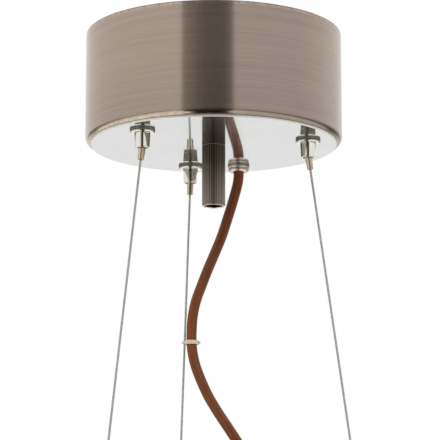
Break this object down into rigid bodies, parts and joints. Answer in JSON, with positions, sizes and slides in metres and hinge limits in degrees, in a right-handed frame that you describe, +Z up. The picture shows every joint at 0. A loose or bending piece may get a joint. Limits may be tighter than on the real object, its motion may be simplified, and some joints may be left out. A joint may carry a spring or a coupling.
{
  "type": "pendant lamp",
  "caption": "Round metal ceiling canopy of a pendant lamp, with wire grippers, suspension wires, a fluted tube nut, a ceiling bracket and a clipped supply cord.",
  "frame": {"origin": "middle of the ceiling bracket's top face, in the plane of the ceiling", "axes": "+Z up, out of the ceiling face; -Y towards the viewer of the picture; +X to the viewer's right"},
  "size_m": [0.1578, 0.1582, 0.3325],
  "materials": {
    "brushed_bronze": "brushed antique nickel, worn bright on the lower edge",
    "mirror_steel": "polished to a mirror",
    "chrome": "bright plated",
    "pale_brass": "bright",
    "dark_fluted": "antique nickel, fluted",
    "zinc_steel": "zinc plated",
    "wire_steel": "stranded wire",
    "spring_steel": "drawn wire",
    "brass": "turned",
    "brown_sheath": "satin sheath",
    "pale_clip": "translucent, moulded",
    "black_rubber": "matt",
    "white_nylon": "moulded",
    "brown_core": "insulation",
    "blue_core": "insulation",
    "green_yellow_core": "insulation, striped"
  },
  "bodies": {
    "root": {"ceiling_bracket": "zinc_steel", "threaded_tube": "zinc_steel", "bracket_nut": "zinc_steel"},
    "canopy": {"canopy_cup": "brushed_bronze", "face_plate": "mirror_steel", "gripper_body_left": "chrome", "gripper_spring_left": "spring_steel", "gripper_plug_left": "zinc_steel", "gripper_nut_left": "zinc_steel", "wire_tail_left": "wire_steel", "gripper_body_far": "chrome", "gripper_spring_far": "spring_steel", "gripper_plug_far": "zinc_steel", "gripper_nut_far": "zinc_steel", "wire_tail_far": "wire_steel", "gripper_body_right": "chrome", "gripper_spring_right": "spring_steel", "gripper_plug_right": "zinc_steel", "gripper_nut_right": "zinc_steel", "wire_tail_right": "wire_steel", "gland_body": "chrome", "gland_cap": "chrome", "gland_seal": "black_rubber", "gland_nut": "zinc_steel", "cord_inner": "brown_sheath", "core_live": "brown_core", "core_neutral": "blue_core", "core_earth": "green_yellow_core", "terminal_block": "white_nylon", "terminal_screw_1": "brass", "terminal_screw_2": "brass", "terminal_screw_3": "brass", "block_screw_1": "zinc_steel", "block_screw_2": "zinc_steel", "earth_stud": "brass", "earth_nut": "brass", "earth_lug": "brass"},
    "tube_nut": {"fluted_nut": "dark_fluted"},
    "wire_left": {"wire_left": "wire_steel", "wire_fitting_left": "chrome"},
    "nozzle_left": {"gripper_nozzle_left": "pale_brass"},
    "jaws_left": {"gripper_jaws_left": "brass"},
    "wire_far": {"wire_far": "wire_steel", "wire_fitting_far": "chrome", "cord_clip": "pale_clip", "cord_free": "brown_sheath", "cord_coil": "brown_sheath", "cord_tie": "black_rubber", "cord_end_cores": "brown_core"},
    "nozzle_far": {"gripper_nozzle_far": "pale_brass"},
    "jaws_far": {"gripper_jaws_far": "brass"},
    "wire_right": {"wire_right": "wire_steel", "wire_fitting_right": "chrome"},
    "nozzle_right": {"gripper_nozzle_right": "pale_brass"},
    "jaws_right": {"gripper_jaws_right": "brass"}
  },
  "joints": [
    {"name": "canopy_drop", "type": "slide", "parent": "root", "child": "canopy", "axis": [0, 0, -1], "range_m": [0, 0.02]},
    {"name": "nut_turn", "type": "hinge", "parent": "canopy", "child": "tube_nut", "pos_m": [0, 0, -0.0835], "axis": [0, 0, -1], "range_deg": [0, 7200]},
    {"name": "wire_swing_left", "type": "hinge", "parent": "canopy", "child": "wire_left", "pos_m": [-0.0403, -0.0396, -0.074], "axis": [-0.7009, 0.7133, 0], "range_deg": [-7.8, 6.5]},
    {"name": "nozzle_press_left", "type": "slide", "parent": "wire_left", "child": "nozzle_left", "axis": [0.0975, 0.0958, 0.9906], "range_m": [0, 0.0008], "stiffness_N_per_m": 400, "springref_m": -0.003},
    {"name": "jaws_lift_left", "type": "slide", "parent": "canopy", "child": "jaws_left", "axis": [0, 0, 1], "range_m": [0, 0.0008], "deforming": ["gripper_spring_left"]},
    {"name": "wire_swing_far", "type": "hinge", "parent": "canopy", "child": "wire_far", "pos_m": [-0.01415, 0.0547, -0.074], "axis": [0.9681, 0.2504, 0], "range_deg": [-7.8, 6.5], "deforming": ["cord_free"]},
    {"name": "nozzle_press_far", "type": "slide", "parent": "wire_far", "child": "nozzle_far", "axis": [0.0342, -0.1323, 0.9906], "range_m": [0, 0.0008], "stiffness_N_per_m": 400, "springref_m": -0.003},
    {"name": "jaws_lift_far", "type": "slide", "parent": "canopy", "child": "jaws_far", "axis": [0, 0, 1], "range_m": [0, 0.0008], "deforming": ["gripper_spring_far"]},
    {"name": "wire_swing_right", "type": "hinge", "parent": "canopy", "child": "wire_right", "pos_m": [0.05445, -0.0151, -0.074], "axis": [-0.2672, -0.9636, 0], "range_deg": [-7.8, 6.5]},
    {"name": "nozzle_press_right", "type": "slide", "parent": "wire_right", "child": "nozzle_right", "axis": [-0.1317, 0.0365, 0.9906], "range_m": [0, 0.0008], "stiffness_N_per_m": 400, "springref_m": -0.003},
    {"name": "jaws_lift_right", "type": "slide", "parent": "canopy", "child": "jaws_right", "axis": [0, 0, 1], "range_m": [0, 0.0008], "deforming": ["gripper_spring_right"]}
  ],
  "couplings": [
    {"joint": "nut_turn", "follows": "canopy_drop", "rad_per_m": 6283.2},
    {"joint": "jaws_lift_left", "follows": "nozzle_press_left", "ratio": 1},
    {"joint": "jaws_lift_far", "follows": "nozzle_press_far", "ratio": 1},
    {"joint": "jaws_lift_right", "follows": "nozzle_press_right", "ratio": 1}
  ]
}
